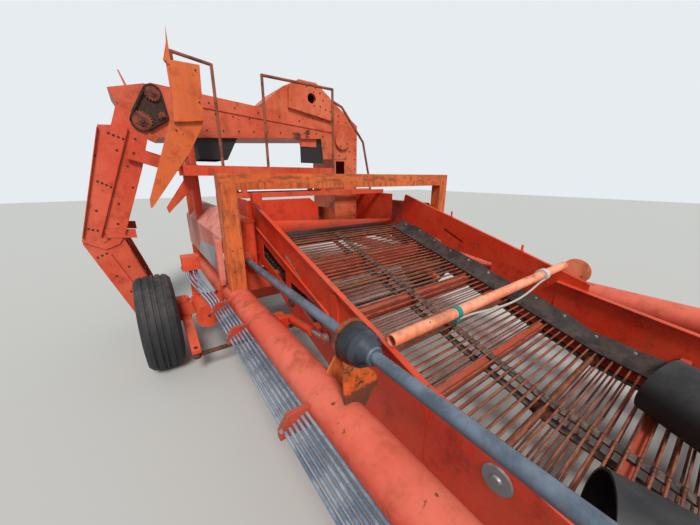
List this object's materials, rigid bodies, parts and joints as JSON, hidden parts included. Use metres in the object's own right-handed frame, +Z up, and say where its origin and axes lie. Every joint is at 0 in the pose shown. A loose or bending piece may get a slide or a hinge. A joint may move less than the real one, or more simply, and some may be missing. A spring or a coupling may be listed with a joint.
{
  "type": "onion harvester",
  "caption": "Towed root-crop harvester with a sloping rod web between two frame tubes, a rear body, an upper cross conveyor and a folded discharge boom.",
  "frame": {"origin": "centre of the hitch ring, 450 mm above the ground", "axes": "+X across the machine towards the far main tube, +Y along the line of travel to the rear, +Z up"},
  "size_m": [4.161, 6.978, 2.802],
  "materials": {
    "red_paint": "sun-worn red paint with rust at edges",
    "orange_paint": "orange-red paint with rust streaks",
    "worn_steel": "bare steel with brown rust",
    "chrome_rod": "polished rod",
    "zinc_pipe": "dull zinc plating",
    "black_plastic": "dusty dark grey plastic",
    "black_rubber": "dusty black rubber",
    "white_rope": "off-white twisted fibre, dirty",
    "tyre_rubber": "worn rubber with dried mud"
  },
  "bodies": {
    "frame": {"main_tube_left": "red_paint", "main_tube_right": "red_paint", "front_cross_tube": "red_paint", "drawbar": "red_paint", "hitch_eye": "worn_steel", "jack_outer": "red_paint", "gantry": "orange_paint", "side_tubes": "red_paint", "cross_beams": "red_paint", "axle_beam": "red_paint", "pto_guard": "black_plastic", "pto_brackets": "orange_paint", "drive_housing": "red_paint", "hydraulic_pipes": "zinc_pipe", "pipe_clamps": "red_paint", "rear_rails": "red_paint", "rear_covers": "red_paint", "hopper_walls": "red_paint", "web_pivot_bearing": "worn_steel", "lift_brackets": "red_paint", "platform_frame": "red_paint", "platform_rails": "worn_steel", "rear_panel": "orange_paint", "upper_frame": "red_paint", "boom_hopper": "red_paint", "elevator_tower": "red_paint", "drive_hood": "red_paint", "conveyor_belts": "black_rubber", "rubber_chute": "black_rubber", "boom_chain_drive": "worn_steel", "strut_lug": "worn_steel"},
    "web": {"web_belts": "black_rubber", "web_rods": "worn_steel", "web_rollers": "worn_steel", "web_rear_plates": "red_paint", "web_front_plates": "red_paint", "web_cross_members": "red_paint", "web_flaps": "black_rubber", "web_crossbar": "orange_paint", "web_lugs": "red_paint", "web_deflectors": "black_rubber", "web_rope": "white_rope"},
    "pickup": {"pickup_bar": "worn_steel"},
    "jack": {"jack_leg": "worn_steel"},
    "knuckle_left": {"knuckle_left": "red_paint"},
    "knuckle_right": {"knuckle_right": "red_paint"},
    "track_rod": {"track_rod": "worn_steel"},
    "wheel_left": {"rim_left": "red_paint", "tyre_left": "tyre_rubber"},
    "wheel_right": {"rim_right": "red_paint", "tyre_right": "tyre_rubber"},
    "pto_shaft": {"pto_shaft": "worn_steel"},
    "lift_barrels": {"lift_ram_barrels": "red_paint"},
    "lift_rods": {"lift_ram_rods": "chrome_rod"},
    "boom_upper": {"boom_upper": "red_paint", "boom_upper_belt": "black_rubber"},
    "boom_lower": {"boom_lower": "red_paint", "boom_lower_belt": "black_rubber"},
    "strut_tube": {"strut_tube": "worn_steel"},
    "strut_channel": {"strut_channel": "red_paint"}
  },
  "joints": [
    {"name": "web_lift", "type": "hinge", "parent": "frame", "child": "web", "pos_m": [1.072, 5.39909, 0.56866], "axis": [-1, 0, 0], "range_deg": [0, 2.5]},
    {"name": "lift_barrel_turn", "type": "hinge", "parent": "frame", "child": "lift_barrels", "pos_m": [1.072, 4.367, 0.305], "axis": [-1, 0, 0], "range_deg": [0, 8]},
    {"name": "lift_rod_slide", "type": "slide", "parent": "lift_barrels", "child": "lift_rods", "axis": [0, -0.9863, 0.1647], "range_m": [0, 0.03]},
    {"name": "pickup_spin", "type": "hinge", "parent": "web", "child": "pickup", "pos_m": [1.072, 1.46, -0.365], "axis": [1, 0, 0], "continuous": true},
    {"name": "jack_slide", "type": "slide", "parent": "frame", "child": "jack", "axis": [0, 0, 1], "range_m": [0, 0.2]},
    {"name": "steer_left", "type": "hinge", "parent": "frame", "child": "knuckle_left", "pos_m": [-0.503, 5.6, 0.05], "axis": [0, 0, 1], "range_deg": [-12, 12]},
    {"name": "steer_right", "type": "hinge", "parent": "frame", "child": "knuckle_right", "pos_m": [2.647, 5.6, 0.05], "axis": [0, 0, 1], "range_deg": [-12, 12]},
    {"name": "track_rod_turn", "type": "hinge", "parent": "knuckle_left", "child": "track_rod", "pos_m": [-0.503, 5.15, -0.188], "axis": [0, 0, 1], "range_deg": [-12, 12]},
    {"name": "wheel_left_spin", "type": "hinge", "parent": "knuckle_left", "child": "wheel_left", "pos_m": [-0.71, 5.6, -0.0275], "axis": [1, 0, 0], "continuous": true},
    {"name": "wheel_right_spin", "type": "hinge", "parent": "knuckle_right", "child": "wheel_right", "pos_m": [2.854, 5.6, -0.0275], "axis": [1, 0, 0], "continuous": true},
    {"name": "pto_spin", "type": "hinge", "parent": "frame", "child": "pto_shaft", "pos_m": [0, 1, 0.519], "axis": [0, 1, 0], "continuous": true},
    {"name": "boom_swing", "type": "hinge", "parent": "frame", "child": "boom_upper", "pos_m": [-0.543, 6.45, 1.71], "axis": [0, 1, 0], "range_deg": [0, 45]},
    {"name": "boom_elbow", "type": "hinge", "parent": "boom_upper", "child": "boom_lower", "pos_m": [-1.01, 6.45, 0.665], "axis": [0, 1, 0], "range_deg": [0, 40]},
    {"name": "strut_turn", "type": "hinge", "parent": "frame", "child": "strut_tube", "pos_m": [-0.3, 6.105, 1.307], "axis": [0, 1, 0], "range_deg": [0, 16]},
    {"name": "strut_slide", "type": "slide", "parent": "strut_tube", "child": "strut_channel", "axis": [-0.9476, 0, 0.3195], "range_m": [0, 0.23]}
  ],
  "couplings": [
    {"joint": "lift_barrel_turn", "follows": "web_lift", "ratio": 2.96},
    {"joint": "lift_rod_slide", "follows": "web_lift", "m_per_rad": 0.48},
    {"joint": "steer_right", "follows": "steer_left", "ratio": 1},
    {"joint": "track_rod_turn", "follows": "steer_left", "ratio": -1},
    {"joint": "strut_turn", "follows": "boom_swing", "ratio": 0.2092},
    {"joint": "strut_slide", "follows": "boom_swing", "m_per_rad": 0.2802}
  ]
}
